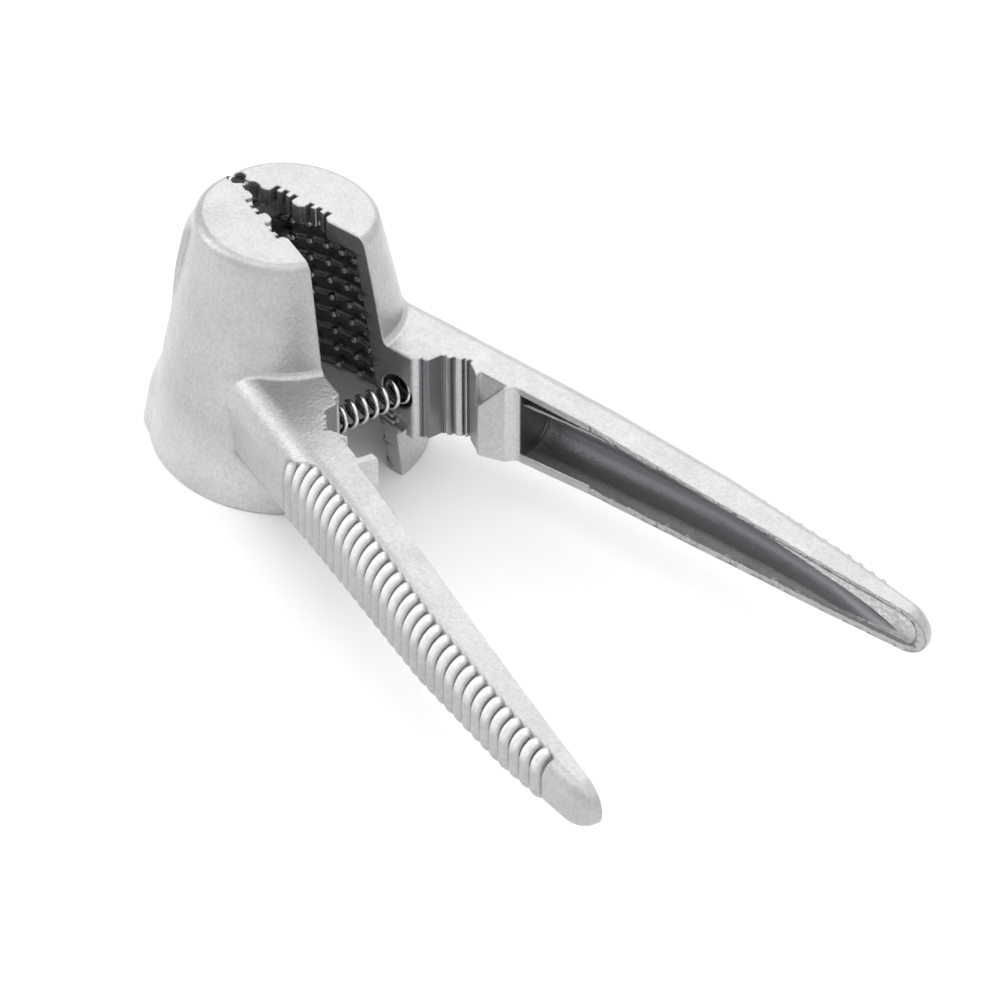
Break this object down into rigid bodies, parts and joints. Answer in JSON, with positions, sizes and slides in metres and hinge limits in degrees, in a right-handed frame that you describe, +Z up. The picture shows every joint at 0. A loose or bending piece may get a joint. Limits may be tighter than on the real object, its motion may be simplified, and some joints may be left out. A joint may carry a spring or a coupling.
{
  "type": "cone-jaw lobster and nut cracker",
  "caption": "Hand-held cracker: two hinged cast levers, each with half of a ribbed cone cup, a serrated jaw and a channel handle, sprung open by a coil spring.",
  "frame": {"origin": "on the surface the cup's mouth stands on, under the middle of the open cracker's bounding box", "axes": "+Z up along the hinge pin and the cup, +X from the hinge towards the handle tips, +Y from the front lever towards the back lever; the plane Y = 0 lies midway between the two levers"},
  "size_m": [0.175, 0.0848, 0.0532],
  "materials": {
    "cast_alloy": "satin, slightly grainy as cast",
    "pin_steel": "plain turned steel",
    "spring_steel": "bright drawn wire"
  },
  "bodies": {
    "front_lever": {"front_lever_casting": "cast_alloy", "hinge_pin": "pin_steel"},
    "back_lever": {"back_lever_casting": "cast_alloy"},
    "spring": {"jaw_spring": "spring_steel"}
  },
  "joints": [
    {"name": "jaw_hinge", "type": "hinge", "parent": "front_lever", "child": "back_lever", "pos_m": [-0.07333, 0, 0.035], "axis": [0, 0, 1], "range_deg": [-22, 0], "stiffness_Nm_per_rad": 0.6, "springref_deg": 14.32, "deforming": ["jaw_spring"]},
    {"name": "spring_follow", "type": "hinge", "parent": "front_lever", "child": "spring", "pos_m": [-0.07333, 0, 0.035], "axis": [0, 0, 1], "range_deg": [-11, 0]}
  ],
  "couplings": [
    {"joint": "spring_follow", "follows": "jaw_hinge", "ratio": 0.5}
  ]
}
